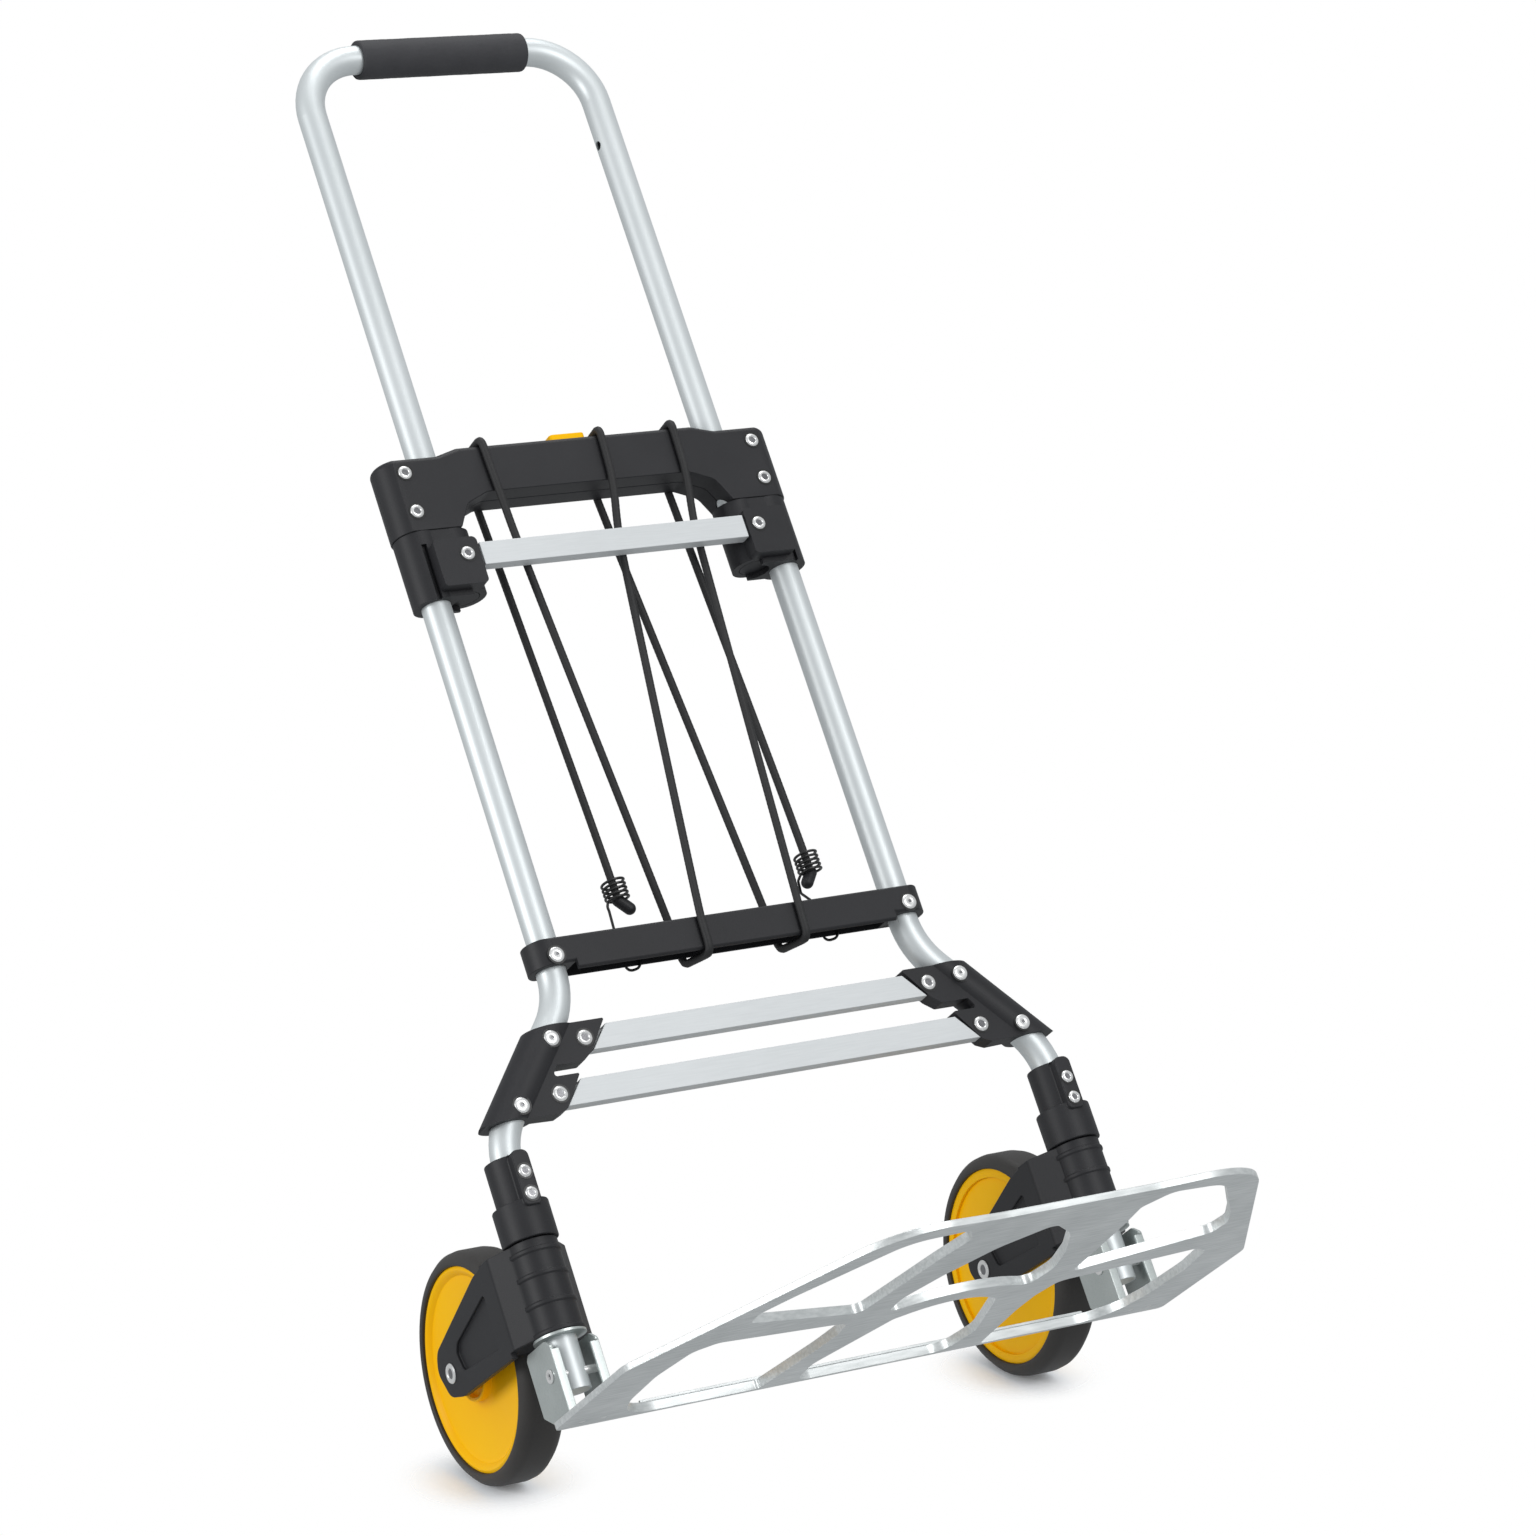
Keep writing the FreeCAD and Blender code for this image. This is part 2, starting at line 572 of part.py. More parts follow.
# ---- corner brackets and leg strips ----
def corner_bracket():
    """Wraps the slanted run of the right leg and carries two strip ends in its ears."""
    slant_top = (LEG_X, 0, leg_path()[1][2])
    slant_low = (COLUMN_X, 0, leg_path()[2][2])
    sleeve = cylinder(slant_top, slant_low, BRACKET_R)
    sleeve = sleeve.common(slab((140, 240), (-20, 20), (BRACKET_LOW, BRACKET_HIGH)))
    outline = [(122, BRACKET_HIGH), (139, 256), (147, 250), (169, 250), (174, 242), (153, 242)]
    outline += [(170, BRACKET_LOW + 2), (177, BRACKET_LOW - 1), (206, BRACKET_LOW), (165, BRACKET_HIGH)]
    ears = front_prism(outline, [1, 2, 3, 2, 2, 1, 2, 2, 0, 0], (EAR_BACK - 3, EAR_FRONT))
    body = joined([sleeve, ears])
    pockets = []
    for low, high, end in LEG_STRIPS.values():
        pockets.append(strip_tongue(low, high, end, GAP))
    return without(body, pockets + [leg_solid()])


def strip_tongue(low, high, end, room):
    """The narrow end of a leg strip that is held inside a bracket's ear."""
    reach = 14 if low > 250 else 11
    heights = (low + 3 - room, high - 3 + room)
    return slab((end - 24, end + reach + room), (3 - room, 6 + room), heights)


def leg_strip(low, high, end):
    """A strip between the corner brackets, its ends cut parallel to the slanted legs."""
    strip = channel_strip(end - STRIP_SLANT * (high - low) - 1, end - 1, LEG_STRIP_FRONT, low, high)
    tongue = strip_tongue(low, high, end, 0)
    link = slab((end - 24, end - 16), (3, LEG_STRIP_FRONT - 1), (low + 3, high - 3))
    body = joined([strip, tongue, mirrored(tongue), link, mirrored(link)])
    ear = [cylinder((x, -5, height), (x, 20, height), RIVET_SHANK_R) for x, height in EAR_RIVETS]
    return without(body, ear + [mirrored(hole) for hole in ear])


def bracket_rivets():
    """The right bracket's four rivets: two into the leg and two into the strips."""
    outer = [rivet(x, height, BRACKET_R - 0.6, -BRACKET_R + 0.6) for x, height in OUTER_RIVETS]
    inner = [rivet(x, height, EAR_FRONT, EAR_BACK - 3) for x, height in EAR_RIVETS]
    return outer + inner


# ---- wheel columns ----
def column_clamp():
    """The fixed collar above the swivelling fork, with a flat rivet pad in front."""
    clamp = cylinder((COLUMN_X, 0, COLLAR_TOP), (COLUMN_X, 0, CLAMP_TOP), 16)
    collar = cylinder((COLUMN_X, 0, COLLAR_BOTTOM), (COLUMN_X, 0, COLLAR_TOP), 20)
    pad_outline = [(COLUMN_X - 7, 152), (COLUMN_X + 6, 152), (COLUMN_X + 6, 192), (COLUMN_X - 7, 192)]
    pad = front_prism(pad_outline, [3, 3, 5, 5], (0, 22))
    return joined([clamp, collar, pad]).cut(leg_solid())


def clamp_rivets():
    """The two rivets of the right clamp."""
    return [rivet(COLUMN_X - 0.6, height, 22, 11.2, 4.6, 1.4, 2.0) for height in CLAMP_RIVET_HEIGHTS]


def swivel_bush():
    """The fixed nylon sleeve that the fork turns on."""
    return tube((COLUMN_X, 0, SWIVEL_BOTTOM), (COLUMN_X, 0, SWIVEL_TOP), BUSH_R, TUBE_R)


def retaining_washer():
    """The steel washer that holds the fork up."""
    return tube((COLUMN_X, 0, SWIVEL_BOTTOM - 2), (COLUMN_X, 0, SWIVEL_BOTTOM - GAP), 18.8, TUBE_R)


def fork_arm(x_range):
    """One side of the fork: a tapering plate from the column to the axle, with a recessed pocket."""
    outline = [(-22, 60), (-112, 63.5), (-131, 69), (-140, 90), (-133, 103), (-45, 127.5), (-22, SWIVEL_TOP)]
    return side_prism(outline, [0, 20, 12, 12, 14, 40, 0], x_range)


def arm_pocket(x_range):
    """The hollow on the outside of an arm."""
    outline = [(-36, 72), (-99, 78), (-103, 92), (-97, 98), (-36, 112)]
    return side_prism(outline, [3, 6, 5, 5, 3], x_range)


def wheel_fork():
    """The swivelling fork: a ringed sleeve, a shoulder and two arms beside the wheel."""
    sleeve = cylinder((COLUMN_X, 0, SWIVEL_BOTTOM), (COLUMN_X, 0, SWIVEL_TOP), SWIVEL_R)
    rings = []
    for height in (SWIVEL_BOTTOM, 84, 104, 121):
        rings.append(cylinder((COLUMN_X, 0, height), (COLUMN_X, 0, height + 3), SWIVEL_R + 1))
    left, right = WHEEL_X - FORK_OUT, WHEEL_X + FORK_OUT
    shoulder_outline = [(COLUMN_X - 17, 3), (left, -16), (left, -31)]
    shoulder_outline += [(right, -31), (right, -16), (COLUMN_X + 17, 3)]
    shoulder = floor_prism(shoulder_outline, [0, 6, 0, 0, 6, 0], (SWIVEL_BOTTOM, SWIVEL_TOP))
    arms = [fork_arm((left, WHEEL_X - FORK_IN)), fork_arm((WHEEL_X + FORK_IN, right))]
    pockets = [arm_pocket((left - 1, left + 2.5)), arm_pocket((right - 2.5, right + 1))]
    bore = cylinder((COLUMN_X, 0, SWIVEL_BOTTOM - 5), (COLUMN_X, 0, SWIVEL_TOP + 5), SWIVEL_BORE)
    axle_hole = cylinder((left - 1, -AXLE_BACK, TYRE_R), (right + 1, -AXLE_BACK, TYRE_R), AXLE_R)
    return without(joined([sleeve, shoulder] + rings + arms), pockets + [bore, axle_hole])


def axle():
    """The wheel's shaft, riveted over on both arms."""
    left, right = WHEEL_X - FORK_OUT, WHEEL_X + FORK_OUT
    shaft = cylinder((left, -AXLE_BACK, TYRE_R), (right, -AXLE_BACK, TYRE_R), AXLE_R)
    heads = []
    for start, step in ((left, -1), (right, 1)):
        heads.append(cylinder((start, -AXLE_BACK, TYRE_R), (start + step * 1.4, -AXLE_BACK, TYRE_R), 7))
    return joined([shaft] + heads)


# ---- wheels ----
def wheel_rim():
    """The plastic wheel centre: ringed hub, dished outer face and barrel, open on the inner side."""
    outer = [(RIM_R, 14.5), (RIM_R - 2.5, 15.6), (RIM_R - 5, 14.4), (RIM_R - 7, 12), (28, 9.5), (22.5, 10.5)]
    outer += [(22.5, 16), (21.5, 17), (19.5, 16), (19, 11.5), (14, 11.5), (13, HUB_HALF), (7, HUB_HALF)]
    inner = [(7, -HUB_HALF), (13, -HUB_HALF), (13, 7.5), (28, 6.5), (COVER_R, 9)]
    inner += [(COVER_R, -14.8), (RIM_R - 3, -15.2), (RIM_R, -14.5)]
    return turned(outer + inner, WHEEL_X, -AXLE_BACK, TYRE_R)


def wheel_cover():
    """The dished disc that closes the inner side of the wheel centre."""
    profile = [(COVER_R, -12.5), (26, -15.5), (15, -19), (13, -20), (13, -17), (26, -12.8), (COVER_R, -9.8)]
    return turned(profile, WHEEL_X, -AXLE_BACK, TYRE_R)


def tyre():
    """The rubber tread with rounded shoulders."""
    half = [(RIM_R, TYRE_HALF), (RIM_R + 3, TYRE_HALF), (TYRE_R - 4, TYRE_HALF - 1.2)]
    half += [(TYRE_R - 1, 12.5), (TYRE_R, 8)]
    profile = half + [(radius, -x) for radius, x in reversed(half)]
    return turned(profile, WHEEL_X, -AXLE_BACK, TYRE_R)


def wheel_bush():
    """The nylon bearing in the wheel's hub."""
    half = HUB_HALF + 1
    start, end = (WHEEL_X - half, -AXLE_BACK, TYRE_R), (WHEEL_X + half, -AXLE_BACK, TYRE_R)
    return tube(start, end, 7, AXLE_R + 0.05)


# ---- toe plate and its hinges ----
def plate_outline(inset):
    """The plate seen from above, drawn in by a wall thickness."""
    right = [(PLATE_HALF - inset, inset), (PLATE_HALF - inset, 122)]
    right += [(137 - inset * 0.6, PLATE_FRONT + 7 - inset), (60, PLATE_FRONT - inset)]
    return right + [(-x, forward) for x, forward in reversed(right)]


def plate_opening(outline, radii):
    """A cut-out with the ring of sheet metal turned up round it."""
    face = floor_face(outline, radii, 0)
    ring = face.makeOffset2D(RIM_WALL).extrude(Vector(0, 0, OPENING_RIM))
    hole = floor_prism(outline, radii, (-1, PLATE_REAR_RIM - 1))
    return ring, hole


def toe_plate():
    """The folding plate: a pressed sheet with turned-up edges and six openings."""
    sheet = floor_prism(plate_outline(0), PLATE_RADII, (0, PLATE_THICK))
    edge = floor_prism(plate_outline(0), PLATE_RADII, (0, PLATE_RIM))
    inside = floor_prism(plate_outline(RIM_WALL), PLATE_INNER_RADII, (-1, PLATE_RIM + 1))
    hinge_room = slab((COLUMN_X - 22, COLUMN_X + 20), (-1, 24), (PLATE_THICK, PLATE_RIM + 1))
    rear_room = slab((-COLUMN_X, COLUMN_X), (-1, 1.5), (PLATE_THICK, PLATE_RIM + 1))
    edge = without(edge, [inside, hinge_room, mirrored(hinge_room), rear_room])
    rear = slab((-180, 180), (0.6, 0.6 + RIM_WALL), (0, PLATE_REAR_RIM))
    rings = []
    holes = []
    for outline, radii in CORNER_OPENINGS:
        ring, hole = plate_opening(outline, radii)
        rings += [ring, mirrored(ring)]
        holes += [hole, mirrored(hole)]
    for outline, radii in CENTRE_OPENINGS:
        ring, hole = plate_opening(outline, radii)
        rings.append(ring)
        holes.append(hole)
    body = joined([sheet, edge, rear] + rings)
    for hole in plate_rivet_bars((-1, 10), RIVET_SHANK_R):
        holes += [hole, mirrored(hole)]
    return without(body, holes)


def plate_rivet_bars(height_range, radius):
    """Upright bars at the right hinge bracket's two rivets."""
    bars = []
    for x in PLATE_RIVET_X:
        start = (x, PLATE_RIVET_FORWARD, height_range[0])
        end = (x, PLATE_RIVET_FORWARD, height_range[1])
        bars.append(cylinder(start, end, radius))
    return bars


def hinge_bracket():
    """A steel channel riveted to the plate, with two cheeks beside the leg tube."""
    base = slab((COLUMN_X - CHEEK_OUT, COLUMN_X + CHEEK_OUT), (3, 18), (PLATE_THICK, BRACKET_FLOOR))
    outline = [(-22, 15), (-4, PLATE_THICK), (18, PLATE_THICK), (18, 54), (10, 59.5), (-18, 59.5), (-22, 56)]
    shapes = [base]
    for side in (1, -1):
        outside = COLUMN_X + side * CHEEK_OUT
        inside = outside - side * CHEEK_THICK
        lip = outside - side * 6.5
        shapes.append(side_prism(outline, [2, 0, 0, 4, 4, 3, 2], sorted((inside, outside))))
        shapes.append(slab(sorted((lip, outside)), (15.5, 18), (PLATE_THICK, 52)))
    holes = [hinge_pin_bar(PIN_R)] + plate_rivet_bars((0, 10), RIVET_SHANK_R)
    return without(joined(shapes), holes)


def hinge_pin_bar(radius):
    """The line of the right hinge pin, from outside one cheek to outside the other."""
    start = (COLUMN_X - CHEEK_OUT, PIN_FORWARD, PIN_HEIGHT)
    end = (COLUMN_X + CHEEK_OUT, PIN_FORWARD, PIN_HEIGHT)
    return cylinder(start, end, radius)


def hinge_pin():
    """The pin that the toe plate folds on, with a head on both cheeks."""
    shapes = [hinge_pin_bar(PIN_R)]
    for side in (1, -1):
        start = COLUMN_X + side * CHEEK_OUT
        end = start + side * 1.5
        shapes.append(cylinder((start, PIN_FORWARD, PIN_HEIGHT), (end, PIN_FORWARD, PIN_HEIGHT), 5))
    return joined(shapes)


def leg_end_plug():
    """The nylon plug in the leg's end, bored for the hinge pin."""
    radius = TUBE_R - LEG_WALL
    plug = cylinder((COLUMN_X, 0, LEG_BOTTOM), (COLUMN_X, 0, LEG_BOTTOM + 28), radius)
    return plug.cut(hinge_pin_bar(PIN_R + 0.05))


def plate_rivets():
    """Two rivets that hold the right hinge bracket on the plate."""
    shanks = plate_rivet_bars((0.2, BRACKET_FLOOR), RIVET_SHANK_R)
    heads = plate_rivet_bars((BRACKET_FLOOR, BRACKET_FLOOR + 1.4), 4)
    return [joined([shank, head]) for shank, head in zip(shanks, heads)]


# ---- elastic cord and its hooks ----
def elastic_cord():
    """The woven elastic, held taut round the crosspiece, behind the strip and round the lower bar."""
    points = [stop[:3] for stop in CORD_ROUTE]
    radii = [stop[3] for stop in CORD_ROUTE]
    return pipe(points, radii, CORD_R)


def cord_hook(x, bends):
    """A wire hook: a flaring coil round the cord's end and a leg looped under the lower bar's back wall."""
    height = HOOK_TOP - HOOK_LOW
    flare = math.degrees(math.atan((HOOK_LOW_R - HOOK_TOP_R) / height))
    helix = Part.makeHelix(HOOK_PITCH, height, HOOK_LOW_R, -flare)
    section = Part.Wire([Part.Circle(Vector(HOOK_LOW_R, 0, 0), Vector(0, 1, 0), WIRE_R).toShape()])
    coil = Part.Wire(helix.Edges).makePipeShell([section], True, True)
    coil.rotate(Vector(0, 0, 0), Vector(0, 0, 1), 180)
    coil.translate(point(x, HOOK_FORWARD, HOOK_LOW))
    inside = -BAR_DEPTH + BAR_WALL + WIRE_R + GAP
    under = BAR_LOW - WIRE_R - GAP - HOOK_DROP
    route = [(x - HOOK_LOW_R, HOOK_FORWARD, HOOK_LOW)]
    route += [(x + across, forward, height) for across, forward, height in bends]
    leg_x, behind = route[-1][:2]
    route += [(leg_x, behind, under), (leg_x + HOOK_LOOP, inside, under)]
    route.append((leg_x + HOOK_LOOP, inside, BAR_LOW + 9))
    leg = pipe(route, [0, 2, 2, 8, 4.5, 4.5, 0], WIRE_R)
    return coil.fuse(leg)


def cord_end(x, lean):
    """The moulded knob on the cord's end, leaning sideways by a distance over its length."""
    top = (x, HOOK_FORWARD, CORD_END - KNOB_R + 1)
    low = (x + lean, HOOK_FORWARD, CORD_END - KNOB_LENGTH + 1)
    ends = [Part.makeSphere(KNOB_R, point(*place)) for place in (top, low)]
    bore = cylinder((x, HOOK_FORWARD, CORD_END), (x, HOOK_FORWARD, CORD_END + 5), CORD_R + 0.1)
    return joined(ends + [cylinder(top, low, KNOB_R)]).cut(bore)


# ---- the whole cart ----
def both(shapes):
    """Right-hand shapes followed by their mirror images."""
    return shapes + [mirrored(shape) for shape in shapes]


def write_frame():
    """The rigid frame between the handle and the wheels, each piece drilled for its rivets."""
    rivets = {
        "housing_rivets": housing_rivets(),
        "guide_rivets": [guide_rivet()],
        "bar_rivets": [bar_rivet()],
        "bracket_rivets": bracket_rivets(),
        "clamp_rivets": clamp_rivets(),
    }
    for name, group in rivets.items():
        write(name, Part.makeCompound(both(group)))
    through_leg = ("housing_rivets", "bar_rivets", "bracket_rivets", "clamp_rivets")
    leg = without(leg_tube(), [piece for name in through_leg for piece in rivets[name]])
    write("right_leg_tube", leg)
    write("left_leg_tube", mirrored(leg))
    front, back = housing_shells()
    write("upper_housing_front", without(front, both(rivets["housing_rivets"])))
    write("upper_housing_back", without(back, both(rivets["housing_rivets"])))
    write("upper_cross_strip", upper_cross_strip())
    write("lower_bar", without(lower_bar(), both(rivets["bar_rivets"])))
    for name, (low, high, end) in LEG_STRIPS.items():
        write(name, leg_strip(low, high, end))
    write_pair("guide_block", without(guide_block(), rivets["guide_rivets"]))
    write_pair("corner_bracket", without(corner_bracket(), rivets["bracket_rivets"]))
    write_pair("column_clamp", without(column_clamp(), rivets["clamp_rivets"]))
    write_pair("swivel_bush", swivel_bush())
    write_pair("retaining_washer", retaining_washer())
    write_pair("leg_end_plug", leg_end_plug())


def write_cord():
    """The cord, its end knobs and its two hooks."""
    cord = elastic_cord()
    print("cord length", round(cord.Volume / (math.pi * CORD_R ** 2), 1), "valid", cord.isValid())
    write("elastic_cord", cord)
    for side, x, bends, lean in zip(("left", "right"), HOOK_X, HOOK_BENDS, KNOB_LEANS):
        write("cord_hook_" + side, cord_hook(x, bends))
        write("cord_end_" + side, cord_end(x, lean))


def write_handle_and_latch():
    """The handle, the release button and the latches it draws in."""
    write("handle_tube", handle_tube())
    write("handle_grip", handle_grip())
    write_pair("handle_end_plug", handle_end_plug())
    write("release_button", release_button())
    write("button_spring", button_spring())
    write_pair("latch_slide", latch_slide())


def write_toe_plate():
    """The toe plate and what folds with it."""
    write("toe_plate", toe_plate())
    write_pair("hinge_bracket", hinge_bracket())
    write_pair("hinge_pin", hinge_pin())
    write("plate_rivets", Part.makeCompound(both(plate_rivets())))


WHEEL_PIECES = {"wheel_fork": wheel_fork, "axle": axle, "wheel_rim": wheel_rim}
WHEEL_PIECES.update({"wheel_cover": wheel_cover, "tyre": tyre, "wheel_bush": wheel_bush})


def write_wheels():
    """The swivelling forks and the wheels in them."""
    for name, build in WHEEL_PIECES.items():
        write_pair(name, build())


os.makedirs("parts", exist_ok=True)
write_frame()
write_cord()
write_handle_and_latch()
write_toe_plate()
write_wheels()
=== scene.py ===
"""Looks of the folding luggage cart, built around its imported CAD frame.

Sizes are in millimetres, and places are (x, forward, height) as in the part: forward is the distance in
front of the plane of the tubes, and place() turns them into the row frame. Lights, floor, elastic cord and
the relief of the materials are in metres.
"""
import json
import math
from collections import namedtuple

import bmesh
import bpy
from mathutils import Matrix, Vector
from mathutils.noise import noise as value_noise

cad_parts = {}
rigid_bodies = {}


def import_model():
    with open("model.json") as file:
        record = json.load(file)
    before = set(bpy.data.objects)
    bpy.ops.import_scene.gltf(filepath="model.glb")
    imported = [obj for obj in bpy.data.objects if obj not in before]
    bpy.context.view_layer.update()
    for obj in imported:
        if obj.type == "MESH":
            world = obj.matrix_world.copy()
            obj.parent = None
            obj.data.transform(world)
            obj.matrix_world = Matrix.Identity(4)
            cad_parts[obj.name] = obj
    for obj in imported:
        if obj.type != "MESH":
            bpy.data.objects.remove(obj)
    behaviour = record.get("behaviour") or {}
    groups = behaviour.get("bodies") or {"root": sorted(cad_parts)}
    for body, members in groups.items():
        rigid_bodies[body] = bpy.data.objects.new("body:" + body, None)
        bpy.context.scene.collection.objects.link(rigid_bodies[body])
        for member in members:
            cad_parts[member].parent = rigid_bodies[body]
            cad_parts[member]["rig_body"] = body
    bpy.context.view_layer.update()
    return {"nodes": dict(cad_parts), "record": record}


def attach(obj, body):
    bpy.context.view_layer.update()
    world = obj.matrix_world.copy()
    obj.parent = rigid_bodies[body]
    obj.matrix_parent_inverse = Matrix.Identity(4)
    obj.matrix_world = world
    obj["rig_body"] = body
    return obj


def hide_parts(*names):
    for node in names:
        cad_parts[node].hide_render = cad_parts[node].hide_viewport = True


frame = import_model()
NODES = frame["nodes"]
SLOTS = {subpart["node"]: subpart["material_slot"] for subpart in frame["record"]["subparts"]}
SCENE = bpy.context.scene
RIGHT = Vector((1, 0, 0))
FRONT = Vector((0, -1, 0))
METRE = 1000

# ---- the cart's driving dimensions ----
FRAME_Y = 62.8
MIDDLE_HEIGHT = 500
SIDES = {"left": -1, "right": 1}
TUBE_R = 11.0
WHEEL_X = 219.75
TYRE_R = 83.2
AXLE_FORWARD = -119.0
AXLE_HEIGHT = 83.0
AXLE_R = 4.0
FORK_OUT = 30.5
COLUMN_X = 222.0
CHEEK_OUT = 18.5
PIN_FORWARD = 6.0
PIN_HEIGHT = 36.0
PIN_R = 3.0

# ---- foam grip: the skin is sunk by SKIN_DEPTH, give or take its lumps (depth, lumps per metre) ----
GRIP_HEIGHT = 1065.0
GRIP_HALF = 69.5
GRIP_R = 15.0
GRIP_END = 1.5
GRIP_ROWS = 90
GRIP_SEGMENTS = 96
SKIN_THICKNESS = 0.5
SKIN_DEPTH = 0.15
SKIN_LUMPS = ((0.2, 60), (0.12, 420))

# ---- rivets: (x, height) places, the forward places of the two faces it clamps, and three radii ----
Rivet = namedtuple("Rivet", "places front back head shank dimple")
RIVETS = {
    "housing_rivets": [Rivet(((145.0, 710.0), (145.0, 678.5)), 16.6, -16.6, 5.2, 2.2, 2.9)],
    "guide_rivets": [Rivet(((121.0, 637.0),), 26.5, 16.5, 5.2, 2.2, 2.9)],
    "bar_rivets": [Rivet(((145.0, 328.5),), 16.5, -16.5, 5.7, 2.2, 1.3)],
    "clamp_rivets": [Rivet(((221.4, 176.1), (221.4, 160.0)), 22.0, 11.2, 4.6, 2.0, 2.4)],
    "bracket_rivets": [
        Rivet(((167.7, 269.1), (205.1, 224.6)), 14.9, -14.9, 5.7, 2.2, 1.3),
        Rivet(((141.1, 266.7), (172.6, 229.2)), 12.0, -2.0, 5.6, 2.2, 3.2),
    ],
}
TAIL_THICKNESS = 1
TAIL_SHARE = 0.8
# painted shadow: a thin near-black ring round each rivet head, this much wider than the head, sunk below
# and risen above the face
SHADOW_RING_WIDTH = 1.4
SHADOW_RING_SUNK = 0.3
SHADOW_RING_RISE = 0.25
# painted shade: a dark disc in each rivet's dimple, as a share of the dimple's radius, from a low to a high
# rise over the face
DIMPLE_SHADE_SHARE = 0.88
DIMPLE_SHADE_LOW = 0.2
DIMPLE_SHADE_HIGH = 0.5

# ---- heads of the axles and hinge pins: (radius, rise above the face) ----
AXLE_HEAD = [(7.0, 0.0), (7.2, 0.5), (6.6, 1.2), (4.6, 1.4), (4.1, 1.1), (3.8, 0.5), (0.0, 0.4)]
# the dimple entries give (radius, rise) of a dark disc in each head's dimple: painted shade in the recess
AXLE_DIMPLE_SHADE = (3.7, 0.35)
PIN_HEAD = [(4.6, 0.0), (5.0, 0.4), (4.7, 1.1), (3.4, 1.5), (2.6, 1.3), (2.0, 0.3), (0.0, 0.2)]
PIN_DIMPLE_SHADE = (2.0, 0.2)
# thickness of those painted shade discs in the heads' dimples
DIMPLE_SHADE_THICKNESS = 0.2

# ---- rounding of sharp edges, by node and by the start of a left and right node's name ----
EDGES = {
    "upper_housing_front": 0.8, "upper_housing_back": 0.8, "release_button": 0.8, "lower_bar": 0.5,
    "upper_cross_strip": 0.5, "upper_leg_strip": 0.5, "lower_leg_strip": 0.5, "toe_plate": 0.5,
}
PAIRED_EDGES = {
    "guide_block": 0.7, "corner_bracket": 0.5, "column_clamp": 0.9, "wheel_fork": 0.7, "hinge_bracket": 0.5,
    "wheel_rim": 0.4, "tyre": 1.2,
}
CROWDED_EDGES = ("corner_bracket", "guide_block")
EDGE_SEGMENTS = 2
EDGE_ANGLE = math.radians(32)
FLAT_ANGLE = math.radians(0.4)
SMOOTHING_WEIGHT = 90
WELD = 0.002

# ---- elastic cord, in metres: its route's (x, forward, height) control points are listed ----
CORD_R = 0.003
CORD_STEP = 0.00105
CORD_AROUND = 20
CORD_SMOOTHNESS = 300
WEAVE_RIDGES = 5
WEAVE_TWIST = 900
WEAVE_DEPTH = 0.00012
CORD_ROUTE = [
    (-0.0655, -0.0190, 0.3780),
    (-0.0655, -0.0190, 0.4000),
    (-0.0770, -0.0199, 0.6940),
    (-0.0785, -0.0199, 0.7160),
    (-0.0785, -0.0199, 0.7303),
    (-0.0785, -0.0070, 0.7303),
    (-0.0785, 0.0070, 0.7303),
    (-0.0785, 0.0199, 0.7303),
    (-0.0782, 0.0199, 0.7160),
    (-0.0770, 0.0199, 0.6860),
    (-0.0715, 0.0125, 0.6460),
    (-0.0305, -0.0198, 0.3440),
    (-0.0300, -0.0198, 0.3310),
    (-0.0295, -0.0198, 0.3187),
    (-0.0290, -0.0070, 0.3166),
    (-0.0285, 0.0070, 0.3140),
    (-0.0280, 0.0198, 0.3120),
    (-0.0275, 0.0198, 0.3310),
    (-0.0270, 0.0198, 0.3440),
    (0.0080, 0.0125, 0.6220),
    (0.0120, 0.0125, 0.6500),
    (0.0170, 0.0199, 0.6860),
    (0.0188, 0.0199, 0.7160),
    (0.0195, 0.0199, 0.7303),
    (0.0202, 0.0070, 0.7303),
    (0.0208, -0.0070, 0.7303),
    (0.0215, -0.0199, 0.7303),
    (0.0216, -0.0199, 0.7160),
    (0.0220, -0.0199, 0.6880),
    (0.0485, -0.0198, 0.3440),
    (0.0492, -0.0198, 0.3310),
    (0.0500, -0.0198, 0.3187),
    (0.0507, -0.0070, 0.3166),
    (0.0513, 0.0070, 0.3140),
    (0.0520, 0.0198, 0.3120),
    (0.0527, 0.0198, 0.3310),
    (0.0535, 0.0198, 0.3440),
    (0.0740, 0.0125, 0.6220),
    (0.0760, 0.0125, 0.6500),
    (0.0790, 0.0199, 0.6860),
    (0.0800, 0.0199, 0.7160),
    (0.0805, 0.0199, 0.7303),
    (0.0809, 0.0070, 0.7303),
    (0.0812, -0.0070, 0.7303),
    (0.0816, -0.0199, 0.7303),
    (0.0820, -0.0199, 0.7160),
    (0.0828, -0.0199, 0.6940),
    (0.0950, -0.0190, 0.4000),
    (0.0950, -0.0190, 0.3780),
]

# ---- the photograph's view, where the cart is tipped back and TRUE_UP is its vertical ----
CAMERA_RIGHT = Vector((0.8617, -0.4086, -0.3008))
CAMERA_UP = Vector((0.1141, -0.4215, 0.8996))
CAMERA_BACK = CAMERA_RIGHT.cross(CAMERA_UP)
CAMERA_PLACE = (-1710.8, 2927.5, -692.3)
CAMERA_LENS = 116.05
CAMERA_SENSOR = 36.0
CAMERA_REACH = 50
TRUE_UP = Vector((0.0, -0.593, 0.805))

# ---- patches of floor, in metres and in shares of a patch's half width ----
FLOOR_HALF = 0.085
FADE_START = 0.2
FADE_END = 0.9


def place(x, forward, height):
    """A place in the row frame, in metres, from millimetres."""
    return Vector((x, FRAME_Y - forward, height)) / METRE


